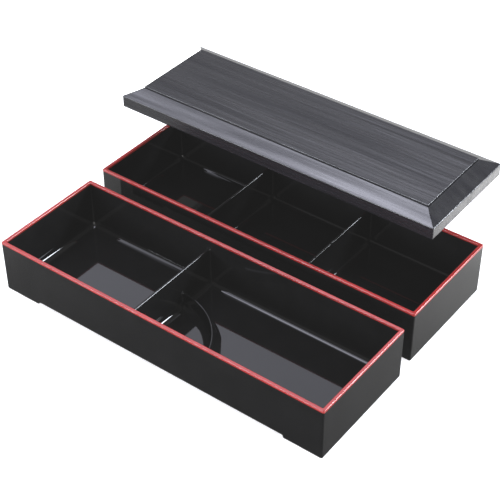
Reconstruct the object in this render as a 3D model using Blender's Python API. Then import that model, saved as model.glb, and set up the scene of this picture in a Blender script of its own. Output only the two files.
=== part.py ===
"""Slim two-tier lunch box: two open compartment boxes with coloured rims, and one lid.

The boxes stand side by side and the lid is held up above the rear one, ready to close on it.
All lengths are in metres, +X along the boxes, +Y from the front box to the rear box, +Z up.
"""

import math

import bmesh
import bpy
from mathutils import Vector

OBJECT_NAME = "lunch_box"

# One box
BOX_LENGTH = 0.273
BOX_DEPTH = 0.0922
BOX_HEIGHT = 0.0421
WALL = 0.0026
FLOOR_TOP = 0.0033
OUTER_CORNER_RADIUS = 0.0012
POCKET_RADIUS = 0.0015
CORNER_SEGMENTS = 4

# Feet: a bar across each end of the underside, and an arch in the long walls between them
FOOT_LENGTH = 0.030
FOOT_HEIGHT = 0.0015
ARCH_HEIGHT = 0.0028

# Coloured rim band on top of the walls
RIM_HEIGHT = 0.0017
RIM_EDGE_RADIUS = 0.0004
TOUCH_GAP = 0.0003

# Dividers
DIVIDER_THICKNESS = 0.0022
DIVIDER_TOP = 0.0336
LOWER_DIVIDER_X = -0.0225
UPPER_COMPARTMENTS = 3

# Quarter-round fence in the front corner beside the lower box's divider
FENCE_RADIUS = 0.0554
FENCE_THICKNESS = 0.0018
FENCE_TOP = 0.0154
FENCE_SEGMENTS = 20

# Lid: a skirt, a sloping frame, and a raised panel, hollow below, with a tapered locating lip
LID_END_INSET = 0.00135
LID_SKIRT = 0.0092
LID_SLOPE_WIDTH = 0.0121
LID_SLOPE_RISE = 0.0058
LID_PANEL_STEP = 0.0012
LID_SHELL = 0.0024
LIP_DEPTH = 0.0020
LIP_CLEARANCE = 0.0010
LIP_TAPER = 0.0024
LIP_THICKNESS = 0.0012

# Layout: the rear box behind the front one, and the lid's offset from its closed place
BOX_GAP = 0.0156
UPPER_SHIFT_X = -0.0021
LID_OPEN_OFFSET = Vector((-0.0113, 0.0382, 0.0318))

# How far a cutter or a joined solid runs past the face it goes through
OVERRUN = 0.002

# Shared linear colours
BLACK = (0.018, 0.018, 0.018)
RIM_RED = (0.3, 0.027, 0.025)
LID_BLACK = (0.014, 0.014, 0.016)


def upper_offset():
    """Place of the upper box, counted from the lower box."""
    return Vector((UPPER_SHIFT_X, BOX_DEPTH + BOX_GAP, 0.0))


def lid_closed_offset():
    """Place of the closed lid's lower face, counted from the lower box."""
    return upper_offset() + Vector((0.0, 0.0, BOX_HEIGHT + TOUCH_GAP))


def lower_box_place():
    """Place of the lower box that puts the origin under the middle of the whole layout."""
    lid_place = lid_closed_offset() + LID_OPEN_OFFSET
    lid_half_length = BOX_LENGTH / 2 - LID_END_INSET
    left = lid_place.x - lid_half_length
    right = BOX_LENGTH / 2
    front = -BOX_DEPTH / 2
    back = lid_place.y + BOX_DEPTH / 2
    return Vector((-(left + right) / 2, -(front + back) / 2, 0.0))


def clear_scene():
    for old in list(bpy.data.objects):
        bpy.data.objects.remove(old, do_unlink=True)


def new_collection(name):
    collection = bpy.data.collections.new(name)
    bpy.context.scene.collection.children.link(collection)
    return collection


def plastic(name, colour, roughness):
    """A moulded plastic: one colour, not metallic."""
    material = bpy.data.materials.new(name)
    material.use_nodes = True
    shader = material.node_tree.nodes["Principled BSDF"]
    shader.inputs["Base Color"].default_value = (*colour, 1.0)
    shader.inputs["Roughness"].default_value = roughness
    shader.inputs["Metallic"].default_value = 0.0
    return material


def block_mesh(low, high):
    """A box between two corners, as a bmesh."""
    low, high = Vector(low), Vector(high)
    bm = bmesh.new()
    bmesh.ops.create_cube(bm, size=1.0)
    bmesh.ops.scale(bm, vec=high - low, verts=bm.verts)
    bmesh.ops.translate(bm, vec=(low + high) / 2, verts=bm.verts)
    return bm


def is_upright(edge):
    return abs(edge.verts[0].co.z - edge.verts[1].co.z) > TOUCH_GAP


def is_at_height(edge, height):
    return all(abs(vert.co.z - height) < TOUCH_GAP for vert in edge.verts)


def round_edges(bm, edges, radius, segments):
    bmesh.ops.bevel(
        bm, geom=edges, offset=radius, segments=segments, profile=0.5, affect="EDGES"
    )


def place_object(name, bm, collection, place, material=None):
    """Turn a bmesh into a named object at a place."""
    bmesh.ops.recalc_face_normals(bm, faces=bm.faces)
    mesh = bpy.data.meshes.new(name)
    bm.to_mesh(mesh)
    bm.free()
    if material is not None:
        mesh.materials.append(material)
    obj = bpy.data.objects.new(name, mesh)
    obj.location = place
    collection.objects.link(obj)
    return obj


def place_tool(name, bm, cutters, place):
    """A solid that only cuts or joins another one."""
    tool = place_object(name, bm, cutters, place)
    tool.hide_render = True
    tool.display_type = "WIRE"
    return tool


def combine(target, tool, operation):
    modifier = target.modifiers.new(tool.name, "BOOLEAN")
    modifier.operation = operation
    modifier.solver = "EXACT"
    modifier.object = tool


def pocket(name, left, right, cutters, place):
    """Cutter for one compartment, with rounded upright corners and floor edges."""
    inner_y = BOX_DEPTH / 2 - WALL
    bm = block_mesh((left, -inner_y, FLOOR_TOP), (right, inner_y, BOX_HEIGHT + OVERRUN))
    edges = [edge for edge in bm.edges if is_upright(edge) or is_at_height(edge, FLOOR_TOP)]
    round_edges(bm, edges, POCKET_RADIUS, CORNER_SEGMENTS)
    return place_tool(name, bm, cutters, place)


def divider_trim(name, cutters, place):
    """Cutter that lowers the dividers below the rim."""
    inner_x = BOX_LENGTH / 2 - WALL
    inner_y = BOX_DEPTH / 2 - WALL
    bm = block_mesh((-inner_x, -inner_y, DIVIDER_TOP), (inner_x, inner_y, BOX_HEIGHT + OVERRUN))
    edges = [edge for edge in bm.edges if is_upright(edge)]
    round_edges(bm, edges, POCKET_RADIUS, CORNER_SEGMENTS)
    return place_tool(name, bm, cutters, place)


def foot_recess(name, cutters, place):
    """Cutter for the shallow recess across the underside, between the two end feet."""
    half_x = BOX_LENGTH / 2 - FOOT_LENGTH
    half_y = BOX_DEPTH / 2 + OVERRUN
    bm = block_mesh((-half_x, -half_y, -OVERRUN), (half_x, half_y, FOOT_HEIGHT))
    return place_tool(name, bm, cutters, place)


def wall_arch(name, side, cutters, place):
    """Cutter for the arch under one long wall, on the back (side 1) or the front (side -1)."""
    half_x = BOX_LENGTH / 2 - FOOT_LENGTH
    inner_y = BOX_DEPTH / 2 - WALL / 2
    outer_y = BOX_DEPTH / 2 + OVERRUN
    low_y, high_y = sorted((side * inner_y, side * outer_y))
    bm = block_mesh((-half_x, low_y, -OVERRUN), (half_x, high_y, ARCH_HEIGHT))
    return place_tool(name, bm, cutters, place)


def compartment_box(name, divider_xs, collection, cutters, place, material):
    """An open box whose full-depth dividers stand at the given X places."""
    top = BOX_HEIGHT - RIM_HEIGHT - TOUCH_GAP
    half_x, half_y = BOX_LENGTH / 2, BOX_DEPTH / 2
    bm = block_mesh((-half_x, -half_y, 0.0), (half_x, half_y, top))
    edges = [edge for edge in bm.edges if is_upright(edge)]
    round_edges(bm, edges, OUTER_CORNER_RADIUS, CORNER_SEGMENTS)
    box = place_object(name, bm, collection, place, material)

    half_divider = DIVIDER_THICKNESS / 2
    lefts = [-half_x + WALL] + [x + half_divider for x in divider_xs]
    rights = [x - half_divider for x in divider_xs] + [half_x - WALL]
    for number, (left, right) in enumerate(zip(lefts, rights), start=1):
        combine(box, pocket(f"{name}_pocket_{number}", left, right, cutters, place), "DIFFERENCE")
    combine(box, divider_trim(f"{name}_trim", cutters, place), "DIFFERENCE")
    combine(box, foot_recess(f"{name}_recess", cutters, place), "DIFFERENCE")
    for side_name, side in (("front", -1), ("back", 1)):
        combine(box, wall_arch(f"{name}_{side_name}_arch", side, cutters, place), "DIFFERENCE")
    return box


def fence(name, cutters, place):
    """Quarter-round fence with a rounded crest, to be joined to the lower box."""
    half = FENCE_THICKNESS / 2
    crest_centre = FENCE_TOP - half
    base = FLOOR_TOP - OVERRUN / 2
    crest = [
        (FENCE_RADIUS + half * math.cos(angle), crest_centre + half * math.sin(angle))
        for angle in (math.pi * step / CORNER_SEGMENTS for step in range(CORNER_SEGMENTS + 1))
    ]
    outline = [(FENCE_RADIUS - half, base), (FENCE_RADIUS + half, base)] + crest
    centre = Vector((LOWER_DIVIDER_X, -BOX_DEPTH / 2 + WALL, 0.0))

    bm = bmesh.new()
    profile = bm.faces.new([bm.verts.new((x, 0.0, z)) for x, z in outline])
    bmesh.ops.spin(
        bm,
        geom=[profile, *profile.verts, *profile.edges],
        cent=(0.0, 0.0, 0.0),
        axis=(0.0, 0.0, 1.0),
        angle=math.pi / 2,
        steps=FENCE_SEGMENTS,
    )
    # The ends are moved half a wall into the front wall and into the divider.
    for vert in bm.verts:
        if vert.co.y < TOUCH_GAP:
            vert.co.y -= WALL / 2
        if vert.co.x < TOUCH_GAP:
            vert.co.x -= DIVIDER_THICKNESS / 4
    bmesh.ops.translate(bm, vec=centre, verts=bm.verts)
    return place_tool(name, bm, cutters, place)


def rim_band(name, collection, cutters, place, material):
    """Coloured band that caps the box's walls."""
    half_x, half_y = BOX_LENGTH / 2, BOX_DEPTH / 2
    bottom = BOX_HEIGHT - RIM_HEIGHT
    bm = block_mesh((-half_x, -half_y, bottom), (half_x, half_y, BOX_HEIGHT))
    upright = [edge for edge in bm.edges if is_upright(edge)]
    round_edges(bm, upright, OUTER_CORNER_RADIUS, CORNER_SEGMENTS)
    top_edges = [edge for edge in bm.edges if is_at_height(edge, BOX_HEIGHT)]
    round_edges(bm, top_edges, RIM_EDGE_RADIUS, CORNER_SEGMENTS // 2)
    rim = place_object(name, bm, collection, place, material)

    inner_x, inner_y = half_x - WALL, half_y - WALL
    hole = block_mesh(
        (-inner_x, -inner_y, bottom - OVERRUN), (inner_x, inner_y, BOX_HEIGHT + OVERRUN)
    )
    hole_upright = [edge for edge in hole.edges if is_upright(edge)]
    round_edges(hole, hole_upright, POCKET_RADIUS, CORNER_SEGMENTS)
    combine(rim, place_tool(f"{name}_hole", hole, cutters, place), "DIFFERENCE")
    return rim


def raise_face(bm, face, rise, inset):
    """Extrude a level face up or down, drawing its edges in, and return the new face."""
    extruded = bmesh.ops.extrude_face_region(bm, geom=[face])
    bmesh.ops.delete(bm, geom=[face], context="FACES_ONLY")
    new_face = next(item for item in extruded["geom"] if isinstance(item, bmesh.types.BMFace))
    centre = new_face.calc_center_median()
    for vert in new_face.verts:
        vert.co.z += rise
        vert.co.x -= math.copysign(inset, vert.co.x - centre.x)
        vert.co.y -= math.copysign(inset, vert.co.y - centre.y)
    return new_face


def level_face(bm, side):
    """The top face (side 1) or the bottom face (side -1) of a block."""
    return max(bm.faces, key=lambda face: side * face.calc_center_median().z)


def lid_lip(name, cutters, place):
    """Tapered plug below the lid that locates it inside the rim, to be joined to the lid."""
    inset = WALL + LIP_CLEARANCE
    half_x, half_y = BOX_LENGTH / 2 - inset, BOX_DEPTH / 2 - inset
    bm = block_mesh((-half_x, -half_y, 0.0), (half_x, half_y, LID_SKIRT / 2))
    raise_face(bm, level_face(bm, -1), -LIP_DEPTH, LIP_TAPER)
    return place_tool(name, bm, cutters, place)


def lid_hollow(name, cutters, place):
    """Cutter for the inside of the lid, which follows its outside one shell lower."""
    inset = WALL + LIP_CLEARANCE + LIP_TAPER + LIP_THICKNESS
    half_x, half_y = BOX_LENGTH / 2 - inset, BOX_DEPTH / 2 - inset
    slope_start = LID_SKIRT - TOUCH_GAP
    bm = block_mesh((-half_x, -half_y, -LIP_DEPTH - OVERRUN), (half_x, half_y, slope_start))
    roof = LID_SKIRT + LID_SLOPE_RISE + LID_PANEL_STEP - LID_SHELL
    roof_inset = LID_SLOPE_WIDTH + LID_SHELL - inset
    raise_face(bm, level_face(bm, 1), roof - slope_start, roof_inset)
    return place_tool(name, bm, cutters, place)


def lid(name, collection, cutters, place, material):
    """Lid with its origin in the middle of its seating face."""
    half_x, half_y = BOX_LENGTH / 2 - LID_END_INSET, BOX_DEPTH / 2
    bm = block_mesh((-half_x, -half_y, 0.0), (half_x, half_y, LID_SKIRT))
    upright = [edge for edge in bm.edges if is_upright(edge)]
    slope_top = raise_face(bm, level_face(bm, 1), LID_SLOPE_RISE, LID_SLOPE_WIDTH)
    raise_face(bm, slope_top, LID_PANEL_STEP, 0.0)
    round_edges(bm, upright, OUTER_CORNER_RADIUS, CORNER_SEGMENTS)
    cover = place_object(name, bm, collection, place, material)
    combine(cover, lid_lip(f"{name}_lip", cutters, place), "UNION")
    combine(cover, lid_hollow(f"{name}_hollow", cutters, place), "DIFFERENCE")
    return cover


def build():
    clear_scene()
    parts = new_collection(OBJECT_NAME)
    cutters = new_collection(f"{OBJECT_NAME}_cutters")
    black = plastic("gloss_black", BLACK, 0.12)
    red = plastic("rim_red", RIM_RED, 0.3)
    satin = plastic("lid_satin_black", LID_BLACK, 0.45)

    lower_place = lower_box_place()
    upper_place = lower_place + upper_offset()
    lid_place = lower_place + lid_closed_offset() + LID_OPEN_OFFSET

    lower = compartment_box("lower_box", [LOWER_DIVIDER_X], parts, cutters, lower_place, black)
    combine(lower, fence("lower_box_fence", cutters, lower_place), "UNION")
    rim_band("lower_rim", parts, cutters, lower_place, red)

    pitch = (BOX_LENGTH - 2 * WALL) / UPPER_COMPARTMENTS
    upper_dividers = [
        pitch * (number - UPPER_COMPARTMENTS / 2) for number in range(1, UPPER_COMPARTMENTS)
    ]
    compartment_box("upper_box", upper_dividers, parts, cutters, upper_place, black)
    rim_band("upper_rim", parts, cutters, upper_place, red)
    lid("lid", parts, cutters, lid_place, satin)


build()
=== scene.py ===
"""Looks of the slim two-tier lunch box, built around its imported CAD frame. Lengths are in metres."""

import math

import bmesh
import bpy
from mathutils import Matrix, Vector, noise


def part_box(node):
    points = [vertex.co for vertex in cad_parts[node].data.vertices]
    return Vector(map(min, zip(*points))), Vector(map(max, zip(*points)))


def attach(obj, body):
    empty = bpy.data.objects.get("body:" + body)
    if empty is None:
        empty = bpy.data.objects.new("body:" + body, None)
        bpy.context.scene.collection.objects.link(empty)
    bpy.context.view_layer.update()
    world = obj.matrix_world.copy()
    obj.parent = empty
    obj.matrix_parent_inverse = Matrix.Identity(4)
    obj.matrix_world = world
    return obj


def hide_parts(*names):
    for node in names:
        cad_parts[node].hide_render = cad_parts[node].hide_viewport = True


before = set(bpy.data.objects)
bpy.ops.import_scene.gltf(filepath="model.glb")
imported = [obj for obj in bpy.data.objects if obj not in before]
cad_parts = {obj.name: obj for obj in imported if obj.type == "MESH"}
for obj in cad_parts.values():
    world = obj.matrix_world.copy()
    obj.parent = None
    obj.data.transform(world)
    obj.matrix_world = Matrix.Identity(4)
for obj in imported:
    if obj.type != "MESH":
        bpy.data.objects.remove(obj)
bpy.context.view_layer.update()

# Box shape
WALL = 0.0026
FLOOR_TOP = 0.0033
WALL_DRAFT = 0.0004
FLOOR_FILLET = 0.0056
OUTER_RADIUS = 0.0011
RIM_CORNER = 0.0007
POCKET_CORNER = 0.0028
BOTTOM_ROUNDING = 0.0010
FOOT_LENGTH = 0.030
RECESS_HEIGHT = 0.0015
ARCH_HEIGHT = 0.0028
ARCH_DEPTH = 0.0013

# Rim band
RIM_ROUNDING = 0.0007

# Dividers and fence: half thicknesses at the crest and at the floor
DIVIDER_TOP = 0.0336
DIVIDER_HALF_CREST = 0.0009
DIVIDER_HALF_BASE = 0.0013
LOWER_DIVIDER_X = -0.0225
UPPER_COMPARTMENTS = 3
WEB_END_FILLET = 0.0020
FENCE_RADIUS = 0.0554
FENCE_TOP = 0.0154
FENCE_HALF_CREST = 0.0008
FENCE_HALF_BASE = 0.0014
FENCE_STEPS = 48

# Lid shape, in heights above its seat and insets from its outer edge
LID_SEAT_TO_LIP = 0.0020
LID_SKIRT = 0.0092
LID_SLOPE_WIDTH = 0.0121
LID_SLOPE_RISE = 0.0058
LID_SHELL = 0.0024
LID_CORNER = 0.0006
LID_EDGE_ROUNDING = 0.0004
LID_SHOULDER_ROUNDING = 0.0008
PANEL_GROOVE = 0.0005
PANEL_ROOT = 0.0015
LIP_INSET = 0.0037
LIP_TAPER = 0.0024
LIP_THICKNESS = 0.0012

# Wood grain moulded into the lid: depth, fade towards edges, and mesh spacing across and along it
GRAIN_DEPTH = 0.00010
GRAIN_FADE = 0.0010
GRAIN_PITCH = 0.00045
GRAIN_RUN = 0.004

# Grain pattern: noise cells in a metre along and across, and which slice of the noise
GRAIN_BEND = (7.0, 22.0, 1.3)
GRAIN_BEND_REACH = 0.004
GRAIN_WIDE = (10.0, 330.0, 4.1)
GRAIN_NARROW = (26.0, 800.0, 8.7)
GRAIN_MEAN = 0.5
GRAIN_WIDE_SHARE = 0.45
GRAIN_NARROW_SHARE = 0.35

# Meshing
CORNER_STEPS = 8
FILLET_STEPS = 8
SINK = 0.0004
HAIR = 0.00001
SHARP_ANGLE = math.radians(24)

# Camera: where it looks, counted from under the middle of the lower box, and from where
CAMERA_TARGET_OFFSET = Vector((-0.0223, 0.0913, 0.0013))
CAMERA_AZIMUTH = math.radians(36.88)
CAMERA_ELEVATION = math.radians(39.02)
CAMERA_DISTANCE = 0.9773
CAMERA_LENS = 94.9
SENSOR_WIDTH = 36.0

# How far the display tones lift pure black, in linear light
BLACK_LIFT = 0.011

# Material ramps, as (noise value, grey or colour) stops
BLACK_TONE = ((0.3, (0.004, 0.004, 0.004)), (0.8, (0.007, 0.0068, 0.0068)))
BLACK_ROUGHNESS = ((0.35, 0.03), (0.75, 0.07))
BLACK_SPECULAR = 0.3
RED_TONE = ((0.3, (0.23, 0.014, 0.013)), (0.75, (0.275, 0.020, 0.018)))
RED_ROUGHNESS = ((0.3, 0.12), (0.75, 0.18))
LID_TONE = ((0.35, (0.005, 0.005, 0.0065)), (0.7, (0.013, 0.013, 0.016)))
LID_ROUGHNESS = ((0.3, 0.31), (0.7, 0.19))
LID_SHEEN = ((0.38, 0.37), (0.6, 0.74))
FLOOR_TONE = ((0.3, 0.80), (0.7, 0.82))
FLOOR_EMISSION = 0.5

# Stage floor: half its length, and how far it lies under the feet
FLOOR_HALF = 6.0
FLOOR_DROP = 0.0001

# Softboxes: place, size, radiance and tint. All are turned towards one point.
COOL = (0.86, 0.91, 1.0)
VIOLET = (0.84, 0.85, 1.0)
WARM = (1.0, 0.97, 0.95)
LIGHT_AIM = Vector((0.0, 0.05, 0.05))
SOFTBOXES = {
    "overhead": ((-0.5, -0.15, 1.1), (0.8, 0.9), 3.5, VIOLET),
    "overhead_right": ((-0.2, 0.0, 1.05), (0.35, 0.5), 6.4, VIOLET),
    "front_low": ((-0.7, -1.34, 0.39), (1.0, 0.3), 26.0, COOL),
    "back_panel": ((-0.88, 1.12, 1.66), (1.3, 0.8), 2.4, VIOLET),
    "streak": ((1.62, 1.36, 1.0), (0.75, 0.7), 65.0, COOL),
    "camera_fill": ((0.8, -1.0, 1.1), (1.2, 1.2), 2.2, WARM),
}

# World: a direction for each ramp, and (cosine to it, brightness) stops
UP = (0.0, 0.0, 1.0)
FRONT = (0.0, -1.0, 0.0)
BACK_LEFT = (-0.8, 0.6, 0.0)
FLOOR_GLOW = ((-0.74, 0.22), (-0.68, 0.42), (-0.63, 0.9), (-0.58, 3.2), (-0.52, 4.6), (-0.42, 1.0))
FRONT_SHADE = ((0.35, 1.0), (0.5, 0.4), (0.6, 0.27), (0.72, 0.02))
BACK_LEFT_GLOW = ((0.95, 0.0), (0.99, 18.0))
RIM_GLOW = ((-0.42, 0.0), (-0.33, 3.5))
RIM_GLOW_IN_FRONT = ((0.6, 0.0), (0.75, 1.0))
WALLS_TO_CEILING = ((0.12, 1.0), (0.4, 0.35))
HORIZON = ((-0.04, 0.0), (0.0, 1.0))


def spaced(start, stop, steps):
    """Evenly spaced numbers from start to stop, both included."""
    return [start + (stop - start) * step / steps for step in range(steps + 1)]


def quarter(steps):
    """Angles from 0 to 90 degrees."""
    return spaced(0.0, math.pi / 2, steps)


def ring(half_x, half_y, radius, z, splits=(1, 1)):
    """Points of a level rounded rectangle, counterclockwise seen from above.

    The straight sides along X and along Y are divided into splits pieces.
    """
    points = []
    for corner, (sign_x, sign_y) in enumerate(((1, 1), (-1, 1), (-1, -1), (1, -1))):
        centre_x = sign_x * (half_x - radius)
        centre_y = sign_y * (half_y - radius)
        for turn in quarter(CORNER_STEPS):
            angle = turn + corner * math.pi / 2
            points.append(
                (centre_x + radius * math.cos(angle), centre_y + radius * math.sin(angle), z)
            )
        along_x = corner % 2 == 0
        start = Vector(points[-1])
        length = 2 * ((half_x if along_x else half_y) - radius)
        step = Vector((-sign_y, 0, 0) if along_x else (0, sign_x, 0)) * length
        count = splits[0] if along_x else splits[1]
        points += [tuple(start + step * number / count) for number in range(1, count)]
    return points


def loft(rows, closed=False):
    """A bmesh skinned over rows of points. An open one gets a cap at each end."""
    bm = bmesh.new()
    verts = [[bm.verts.new(point) for point in row] for row in rows]
    pairs = list(zip(verts, verts[1:]))
    if closed:
        pairs.append((verts[-1], verts[0]))
    for low, high in pairs:
        for index in range(len(low)):
            after = (index + 1) % len(low)
            bm.faces.new((low[index], low[after], high[after], high[index]))
    if not closed:
        bm.faces.new(list(reversed(verts[0])))
        bm.faces.new(verts[-1])
    bmesh.ops.recalc_face_normals(bm, faces=bm.faces)
    return bm


def object_from(bm, name, place=(0.0, 0.0, 0.0)):
    mesh = bpy.data.meshes.new(name)
    bm.to_mesh(mesh)
    bm.free()
    obj = bpy.data.objects.new(name, mesh)
    obj.location = place
    bpy.context.scene.collection.objects.link(obj)
    return obj


def block(low, high):
    """A bmesh box between two corners."""
    low, high = Vector(low), Vector(high)
    bm = bmesh.new()
    bmesh.ops.create_cube(bm, size=1.0)
    bmesh.ops.scale(bm, vec=high - low, verts=bm.verts)
    bmesh.ops.translate(bm, vec=(low + high) / 2, verts=bm.verts)
    return bm


def combine(target, bm, operation):
    """Join a bmesh to an object, or cut it out, in the object's own coordinates."""
    tool = object_from(bm, "tool", target.location)
    modifier = target.modifiers.new("combine", "BOOLEAN")
    modifier.operation = operation
    modifier.solver = "EXACT"
    modifier.object = tool
    evaluated = target.evaluated_get(bpy.context.evaluated_depsgraph_get())
    mesh = bpy.data.meshes.new_from_object(evaluated)
    target.modifiers.clear()
    target.data = mesh
    bpy.data.objects.remove(tool)


def finish_surface(obj, material):
    """Smooth shading that keeps flat faces flat, and the piece's own material."""
    obj.data.shade_smooth()
    obj.data.set_sharp_from_angle(angle=SHARP_ANGLE)
    normals = obj.modifiers.new("flat_faces", "WEIGHTED_NORMAL")
    normals.keep_sharp = True
    obj.data.materials.clear()
    obj.data.materials.append(material)


def flare(distance, radius):
    """How far a fillet reaches out at a distance from the surface that it runs into."""
    depth = radius - max(distance, 0.0)
    return radius - math.sqrt(radius**2 - depth**2) if depth > 0 else 0.0


def fillet_distances(radius):
    """Distances from a surface at which a fillet that runs into it has its edges."""
    return [-SINK, HAIR] + [radius * (1 - math.cos(turn)) for turn in quarter(FILLET_STEPS)[1:]]


def web_section(top, half_base, half_crest, floor_fillet, spread):
    """Outline of a divider or fence across its thickness, as (offset, height) points."""
    heights = [FLOOR_TOP + distance for distance in fillet_distances(floor_fillet)]
    heights.append(top - half_crest)
    side = []
    for height in heights:
        share = max(0.0, (height - FLOOR_TOP) / (top - FLOOR_TOP))
        half = half_base + (half_crest - half_base) * share
        side.append((half + flare(height - FLOOR_TOP, floor_fillet) + spread, height))
    for turn in quarter(FILLET_STEPS)[1:]:
        side.append((half_crest * math.cos(turn) + spread, top - half_crest * (1 - math.sin(turn))))
    return side + [(-offset, height) for offset, height in reversed(side)]


def box_size():
    """Half length, half depth and height of one box with its rim."""
    low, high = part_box("lower_box")
    return (high.x - low.x) / 2, (high.y - low.y) / 2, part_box("lower_rim")[1].z


HALF_X, HALF_Y, BOX_TOP = box_size()
RIM_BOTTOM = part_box("lower_rim")[0].z


def inner_inset(z):
    """Wall thickness at a height, which grows a little downwards."""
    return WALL + WALL_DRAFT * (RIM_BOTTOM - z) / RIM_BOTTOM


def inner_corner(z):
    """Radius of the upright inner corners at a height: nearly square at the rim, rounder below."""
    share = (RIM_BOTTOM - z) / (RIM_BOTTOM - FLOOR_TOP)
    return RIM_CORNER + (POCKET_CORNER - RIM_CORNER) * share


def tub():
    """Walls, floor and rounded edges of one box, before its dividers and feet."""
    rows = []
    for turn in quarter(FILLET_STEPS // 2):
        inset = BOTTOM_ROUNDING * (1 - math.sin(turn))
        z = BOTTOM_ROUNDING * (1 - math.cos(turn))
        rows.append(ring(HALF_X - inset, HALF_Y - inset, OUTER_RADIUS - inset, z))
    rows.append(ring(HALF_X, HALF_Y, OUTER_RADIUS, RIM_BOTTOM))
    fillet_top = FLOOR_TOP + FLOOR_FILLET
    for z in (RIM_BOTTOM, fillet_top):
        inset = inner_inset(z)
        rows.append(ring(HALF_X - inset, HALF_Y - inset, inner_corner(z), z))
    for turn in quarter(FILLET_STEPS)[1:]:
        inset = inner_inset(fillet_top) + FLOOR_FILLET * (1 - math.cos(turn))
        z = fillet_top - FLOOR_FILLET * math.sin(turn)
        rows.append(ring(HALF_X - inset, HALF_Y - inset, inner_corner(z), z))
    return loft(rows)


def divider(x):
    """Full-depth divider at an X place, flared into the floor and both long walls."""
    rows = []
    near = fillet_distances(WEB_END_FILLET)
    stations = [(-1, distance) for distance in near] + [(1, distance) for distance in reversed(near)]
    for side, distance in stations:
        spread = flare(distance, WEB_END_FILLET)
        section = web_section(
            DIVIDER_TOP, DIVIDER_HALF_BASE, DIVIDER_HALF_CREST, FLOOR_FILLET, spread
        )
        rows.append(
            [(x + offset, side * (HALF_Y - inner_inset(z) - distance), z) for offset, z in section]
        )
    return loft(rows)


def fence():
    """Quarter-round fence between the divider and the front wall."""
    near = fillet_distances(WEB_END_FILLET)
    face = DIVIDER_HALF_BASE
    # Each station is an angle from the front wall and the fillet spread there.
    stations = [(math.asin(d / FENCE_RADIUS), flare(d, WEB_END_FILLET)) for d in near]
    last = math.acos((face + WEB_END_FILLET) / FENCE_RADIUS)
    stations += [(angle, 0.0) for angle in spaced(stations[-1][0], last, FENCE_STEPS)[1:-1]]
    stations += [
        (math.acos((face + d) / FENCE_RADIUS), flare(d, WEB_END_FILLET)) for d in reversed(near)
    ]
    rows = []
    for angle, spread in stations:
        section = web_section(FENCE_TOP, FENCE_HALF_BASE, FENCE_HALF_CREST, FLOOR_FILLET, spread)
        rows.append([
            (
                LOWER_DIVIDER_X + (FENCE_RADIUS + offset) * math.cos(angle),
                (FENCE_RADIUS + offset) * math.sin(angle) - HALF_Y + inner_inset(FENCE_TOP),
                z,
            )
            for offset, z in section
        ])
    return loft(rows)


def cut_feet(box):
    """Recess across the underside between the feet, and an arch in each long wall."""
    half = HALF_X - FOOT_LENGTH
    reach = HALF_Y + SINK
    combine(box, block((-half, -reach, -SINK), (half, reach, RECESS_HEIGHT)), "DIFFERENCE")
    for side in (-1, 1):
        low_y, high_y = sorted((side * reach, side * (HALF_Y - ARCH_DEPTH)))
        combine(box, block((-half, low_y, -SINK), (half, high_y, ARCH_HEIGHT)), "DIFFERENCE")


def rim_band():
    """Rounded band that caps the walls."""
    arc = [
        (RIM_ROUNDING * (1 - math.cos(turn)), BOX_TOP - RIM_ROUNDING * (1 - math.sin(turn)))
        for turn in quarter(FILLET_STEPS)
    ]
    outer = [(0.0, RIM_BOTTOM)] + arc
    inner = [(WALL - inset, z) for inset, z in reversed(outer)]
    rows = []
    for inset, z in outer + inner:
        share = inset / WALL
        radius = OUTER_RADIUS + (RIM_CORNER - OUTER_RADIUS) * share
        rows.append(ring(HALF_X - inset, HALF_Y - inset, radius, z))
    return loft(rows, closed=True)


def grain_noise(x, across, pattern):
    along_cells, across_cells, slice_height = pattern
    return noise.noise(Vector((x * along_cells, across * across_cells, slice_height)))


def grain(x, across):
    """Depth of the wood grain from 0 to 1: long furrows along X that wander a little."""
    bent = across + GRAIN_BEND_REACH * grain_noise(x, across, GRAIN_BEND)
    wide = grain_noise(x, bent, GRAIN_WIDE)
    narrow = grain_noise(x, bent, GRAIN_NARROW)
    depth = GRAIN_MEAN + GRAIN_WIDE_SHARE * wide + GRAIN_NARROW_SHARE * narrow
    return min(1.0, max(0.0, depth))


def carve_grain(bm, half_x, half_y):
    """Sink the lid's outer faces by the grain, along their normals, but not at their edges."""
    bm.normal_update()
    moves = []
    for vert in bm.verts:
        x, y, z = vert.co
        inset = min(half_x - abs(x), half_y - abs(y))
        on_skirt = inset < LID_EDGE_ROUNDING / 2 and z > 0
        if on_skirt or vert.normal.z > 0.1:
            from_edge = min(max(inset, LID_SKIRT - z), abs(inset - LID_SLOPE_WIDTH))
            fade = min(1.0, from_edge / GRAIN_FADE)
            depth = GRAIN_DEPTH * fade * grain(x, y + z * abs(vert.normal.y))
            moves.append((vert, vert.normal * depth))
    for vert, move in moves:
        vert.co -= move
    return bm


def lid_halves():
    low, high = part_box("lid")
    return (high.x - low.x) / 2, (high.y - low.y) / 2


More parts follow.
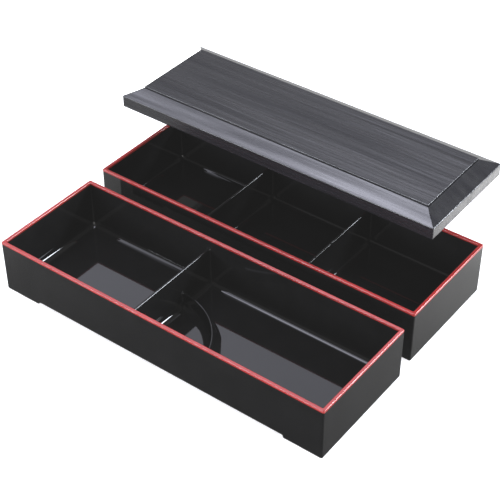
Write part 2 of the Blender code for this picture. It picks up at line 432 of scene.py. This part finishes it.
def lid_frame():
    """Lid without its raised panel: skirt, sloping frame, hollow underside and tapered lip."""
    half_x, half_y = lid_halves()
    low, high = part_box("lid")
    roof = high.z - low.z - LID_SEAT_TO_LIP - LID_SHELL
    lip_tip = LIP_INSET + LIP_TAPER
    hollow = lip_tip + LIP_THICKNESS
    slope = math.atan2(LID_SLOPE_RISE, LID_SLOPE_WIDTH)
    profile = [
        (LID_SLOPE_WIDTH + LID_SHELL, roof),
        (hollow, LID_SKIRT - LID_EDGE_ROUNDING),
        (hollow, -LID_SEAT_TO_LIP),
        (lip_tip, -LID_SEAT_TO_LIP),
        (LIP_INSET, 0.0),
    ]
    for turn in quarter(FILLET_STEPS // 2):
        profile.append(
            (LID_EDGE_ROUNDING * (1 - math.sin(turn)), LID_EDGE_ROUNDING * (1 - math.cos(turn)))
        )
    # The skirt's top edge is rounded from upright to the slope.
    rounding = LID_SHOULDER_ROUNDING
    shoulder = LID_SKIRT - rounding * math.tan((math.pi / 2 - slope) / 2)
    rows_up = round(LID_SKIRT / GRAIN_PITCH)
    profile += [(0.0, z) for z in spaced(LID_EDGE_ROUNDING, shoulder, rows_up)[1:-1]]
    for turn in spaced(0.0, math.pi / 2 - slope, FILLET_STEPS):
        profile.append((rounding * (1 - math.cos(turn)), shoulder + rounding * math.sin(turn)))
    start = Vector(profile[-1])
    foot = LID_SLOPE_WIDTH - PANEL_GROOVE
    end = Vector((foot, LID_SKIRT + LID_SLOPE_RISE - PANEL_GROOVE * math.tan(slope)))
    rows_in = round(LID_SLOPE_WIDTH / GRAIN_PITCH)
    profile += [tuple(start.lerp(end, step / rows_in)) for step in range(1, rows_in + 1)]
    # A narrow groove runs round the foot of the panel.
    groove_floor = end.y - PANEL_GROOVE
    profile += [(foot, groove_floor), (LID_SLOPE_WIDTH, groove_floor)]
    splits = (round(2 * half_x / GRAIN_RUN), round(2 * half_y / GRAIN_PITCH))
    rows = [ring(half_x - inset, half_y - inset, LID_CORNER, z, splits) for inset, z in profile]
    return carve_grain(loft(rows), half_x, half_y)


def edge_stations(half, spacing):
    """Places across the panel, evenly spaced but close together over its rounded edges."""
    rounding = [LID_EDGE_ROUNDING * (1 - math.cos(turn)) for turn in quarter(FILLET_STEPS // 2)]
    flat = half - LID_EDGE_ROUNDING
    even = spaced(-flat, flat, round(2 * flat / spacing))[1:-1]
    return [inset - half for inset in rounding] + even + [half - inset for inset in reversed(rounding)]


def lid_panel():
    """Raised panel in the middle of the lid."""
    half_x, half_y = lid_halves()
    low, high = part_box("lid")
    panel_x, panel_y = half_x - LID_SLOPE_WIDTH, half_y - LID_SLOPE_WIDTH
    bottom = LID_SKIRT + LID_SLOPE_RISE - PANEL_ROOT
    top = high.z - low.z - LID_SEAT_TO_LIP
    rows = []
    for y in edge_stations(panel_y, GRAIN_PITCH):
        drop = flare(panel_y - abs(y), LID_EDGE_ROUNDING)
        row = [
            (x, y, top - drop - flare(panel_x - abs(x), LID_EDGE_ROUNDING))
            for x in edge_stations(panel_x, GRAIN_RUN)
        ]
        rows.append(row + [(panel_x, y, bottom), (-panel_x, y, bottom)])
    return carve_grain(loft(rows), half_x, half_y)


def new_material(name):
    material = bpy.data.materials.new(name)
    material.use_nodes = True
    return material, material.node_tree, material.node_tree.nodes["Principled BSDF"]


def object_noise(tree, scale_xyz, scale, detail, roughness=0.5):
    """A noise over object coordinates, stretched by a scale along each axis."""
    coordinates = tree.nodes.new("ShaderNodeTexCoord")
    mapping = tree.nodes.new("ShaderNodeMapping")
    mapping.inputs["Scale"].default_value = scale_xyz
    texture = tree.nodes.new("ShaderNodeTexNoise")
    texture.inputs["Scale"].default_value = scale
    texture.inputs["Detail"].default_value = detail
    texture.inputs["Roughness"].default_value = roughness
    tree.links.new(coordinates.outputs["Object"], mapping.inputs["Vector"])
    tree.links.new(mapping.outputs["Vector"], texture.inputs["Vector"])
    return texture


def ramp(tree, source, stops):
    """Colour ramp over a value, from (position, grey or colour) stops."""
    node = tree.nodes.new("ShaderNodeValToRGB")
    elements = node.color_ramp.elements
    while len(elements) < len(stops):
        elements.new(0.5)
    for element, (position, colour) in zip(elements, stops):
        element.position = position
        element.color = (*colour, 1.0) if isinstance(colour, tuple) else (colour,) * 3 + (1.0,)
    tree.links.new(source, node.inputs["Fac"])
    return node.outputs["Color"]


def drive(tree, texture, stops, shader, socket):
    """Set a shader socket from a noise through a ramp."""
    tree.links.new(ramp(tree, texture.outputs["Fac"], stops), shader.inputs[socket])


def bump(tree, source, shader, strength, distance):
    node = tree.nodes.new("ShaderNodeBump")
    node.inputs["Strength"].default_value = strength
    node.inputs["Distance"].default_value = distance
    tree.links.new(source, node.inputs["Height"])
    tree.links.new(node.outputs["Normal"], shader.inputs["Normal"])


def gloss_black():
    """Polished black moulded plastic with faint handling marks."""
    material, tree, shader = new_material("gloss_black")
    marks = object_noise(tree, (1, 1, 1), 60.0, 6.0, 0.6)
    drive(tree, marks, BLACK_TONE, shader, "Base Color")
    drive(tree, marks, BLACK_ROUGHNESS, shader, "Roughness")
    shader.inputs["Specular IOR Level"].default_value = BLACK_SPECULAR
    return material


def rim_red():
    """Red edge paint: semi-gloss, slightly uneven in tone."""
    material, tree, shader = new_material("rim_red")
    tone = object_noise(tree, (1, 1, 1), 90.0, 4.0)
    drive(tree, tone, RED_TONE, shader, "Base Color")
    drive(tree, tone, RED_ROUGHNESS, shader, "Roughness")
    bump(tree, tone.outputs["Fac"], shader, 0.15, 0.0002)
    return material


def lid_satin():
    """Satin black plastic, with tone and sheen that follow the wood grain along X."""
    material, tree, shader = new_material("lid_satin")
    streaks = object_noise(tree, (14.0, 700.0, 700.0), 1.0, 4.0, 0.6)
    drive(tree, streaks, LID_TONE, shader, "Base Color")
    drive(tree, streaks, LID_ROUGHNESS, shader, "Roughness")
    figure = object_noise(tree, (5.0, 110.0, 110.0), 1.0, 3.0)
    drive(tree, figure, LID_SHEEN, shader, "Specular IOR Level")
    bump(tree, streaks.outputs["Fac"], shader, 0.35, 0.0002)
    return material


def floor_white():
    """Pale floor that shines a little itself, so that it shows as plain white."""
    material, tree, shader = new_material("floor_white")
    tone = object_noise(tree, (1, 1, 1), 4.0, 2.0)
    drive(tree, tone, FLOOR_TONE, shader, "Base Color")
    shader.inputs["Roughness"].default_value = 0.9
    shader.inputs["Emission Color"].default_value = (1.0, 1.0, 1.0, 1.0)
    shader.inputs["Emission Strength"].default_value = FLOOR_EMISSION
    return material


def middle_of(node):
    low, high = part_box(node)
    return (low + high) / 2


def build_tier(tier, divider_xs, with_fence, black, red):
    """One box and its rim, riding on its CAD body and standing for its CAD nodes."""
    middle = middle_of(f"{tier}_box")
    place = (middle.x, middle.y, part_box(f"{tier}_box")[0].z)
    box = object_from(tub(), f"{tier}_compartment_box", place)
    for x in divider_xs:
        combine(box, divider(x), "UNION")
    if with_fence:
        combine(box, fence(), "UNION")
    cut_feet(box)
    finish_surface(box, black)
    rim = object_from(rim_band(), f"{tier}_rim_band", place)
    finish_surface(rim, red)
    for piece, node, slot in ((box, "box", "box_gloss_black"), (rim, "rim", "rim_red")):
        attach(piece, f"{tier}_tier")
        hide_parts(f"{tier}_{node}")


def build_lid(satin):
    low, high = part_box("lid")
    place = ((low.x + high.x) / 2, (low.y + high.y) / 2, low.z + LID_SEAT_TO_LIP)
    pieces = (
        object_from(lid_frame(), "lid_sloping_frame", place),
        object_from(lid_panel(), "lid_raised_panel", place),
    )
    for piece in pieces:
        finish_surface(piece, satin)
        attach(piece, "cover")
    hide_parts("lid")


def build_floor():
    bm = bmesh.new()
    bmesh.ops.create_grid(bm, x_segments=1, y_segments=1, size=FLOOR_HALF)
    floor = object_from(bm, "floor", (0.0, 0.0, -FLOOR_DROP))
    floor.data.materials.append(floor_white())
    floor.visible_glossy = False


def build_camera():
    low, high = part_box("lower_box")
    target = Vector(((low.x + high.x) / 2, (low.y + high.y) / 2, 0.0)) + CAMERA_TARGET_OFFSET
    back = Vector((
        math.sin(CAMERA_AZIMUTH) * math.cos(CAMERA_ELEVATION),
        -math.cos(CAMERA_AZIMUTH) * math.cos(CAMERA_ELEVATION),
        math.sin(CAMERA_ELEVATION),
    ))
    data = bpy.data.cameras.new("camera")
    data.lens = CAMERA_LENS
    data.sensor_width = SENSOR_WIDTH
    camera = bpy.data.objects.new("camera", data)
    camera.location = target + back * CAMERA_DISTANCE
    camera.rotation_euler = back.to_track_quat("Z", "Y").to_euler()
    bpy.context.scene.collection.objects.link(camera)
    bpy.context.scene.camera = camera


def softbox(name, place, size, radiance, tint):
    """A rectangular area light at a place, turned towards the aim with its width level."""
    data = bpy.data.lights.new(name, "AREA")
    data.shape = "RECTANGLE"
    data.size, data.size_y = size
    data.energy = radiance * math.pi * size[0] * size[1]
    data.color = tint
    light = bpy.data.objects.new(name, data)
    light.location = place
    back = (Vector(place) - LIGHT_AIM).normalized()
    side = Vector(UP).cross(back).normalized()
    light.rotation_euler = Matrix((side, back.cross(side), back)).transposed().to_euler()
    light.visible_camera = False
    bpy.context.scene.collection.objects.link(light)


def direction_ramp(tree, direction, stops):
    """Brightness over the sky by the angle to a direction: -1 is away from it and 1 is towards it."""
    coordinates = tree.nodes.new("ShaderNodeTexCoord")
    dot = tree.nodes.new("ShaderNodeVectorMath")
    dot.operation = "DOT_PRODUCT"
    dot.inputs[1].default_value = direction
    tree.links.new(coordinates.outputs["Generated"], dot.inputs[0])
    shift = tree.nodes.new("ShaderNodeMapRange")
    shift.inputs["From Min"].default_value = -1.0
    tree.links.new(dot.outputs["Value"], shift.inputs["Value"])
    return ramp(tree, shift.outputs["Result"], [((1 + place) / 2, grey) for place, grey in stops])


def blend_colours(tree, mode, factor, first, second):
    node = tree.nodes.new("ShaderNodeMix")
    node.data_type = "RGBA"
    node.blend_type = mode
    for socket, value in (("Factor", factor), ("A", first), ("B", second)):
        target = next(i for i in node.inputs if i.name == socket and i.enabled)
        if isinstance(value, float):
            target.default_value = value
        else:
            tree.links.new(value, target)
    return next(o for o in node.outputs if o.enabled)


def build_world():
    """Pale walls at the horizon, a dim ceiling, and below the horizon what polished faces reflect."""
    world = bpy.data.worlds.new("studio")
    world.use_nodes = True
    tree = world.node_tree
    glow = direction_ramp(tree, UP, FLOOR_GLOW)
    front = direction_ramp(tree, FRONT, FRONT_SHADE)
    below = blend_colours(tree, "MULTIPLY", 1.0, glow, front)
    left = direction_ramp(tree, BACK_LEFT, BACK_LEFT_GLOW)
    above = direction_ramp(tree, UP, WALLS_TO_CEILING)
    horizon = direction_ramp(tree, UP, HORIZON)
    rim_glow = direction_ramp(tree, UP, RIM_GLOW)
    facing = direction_ramp(tree, FRONT, RIM_GLOW_IN_FRONT)
    rims = blend_colours(tree, "MULTIPLY", 1.0, rim_glow, facing)
    low_light = blend_colours(tree, "ADD", 1.0, blend_colours(tree, "ADD", 1.0, below, left), rims)
    sky = blend_colours(tree, "MIX", horizon, low_light, above)
    tree.links.new(sky, tree.nodes["Background"].inputs["Color"])
    bpy.context.scene.world = world


def build_lighting():
    for name, (place, size, radiance, tint) in SOFTBOXES.items():
        softbox(name, place, size, radiance, tint)
    build_world()


def set_tones():
    """Plain display colours, with the blacks lifted to a very dark grey."""
    view = bpy.context.scene.view_settings
    view.view_transform = "Standard"
    view.use_curve_mapping = True
    view.curve_mapping.black_level = (-BLACK_LIFT, -BLACK_LIFT, -BLACK_LIFT)
    view.curve_mapping.update()


def build():
    black = gloss_black()
    red = rim_red()
    pitch = 2 * (HALF_X - WALL) / UPPER_COMPARTMENTS
    upper_dividers = [
        pitch * (number - UPPER_COMPARTMENTS / 2) for number in range(1, UPPER_COMPARTMENTS)
    ]
    build_tier("lower", [LOWER_DIVIDER_X], True, black, red)
    build_tier("upper", upper_dividers, False, black, red)
    build_lid(lid_satin())
    build_floor()
    build_camera()
    build_lighting()
    set_tones()


build()
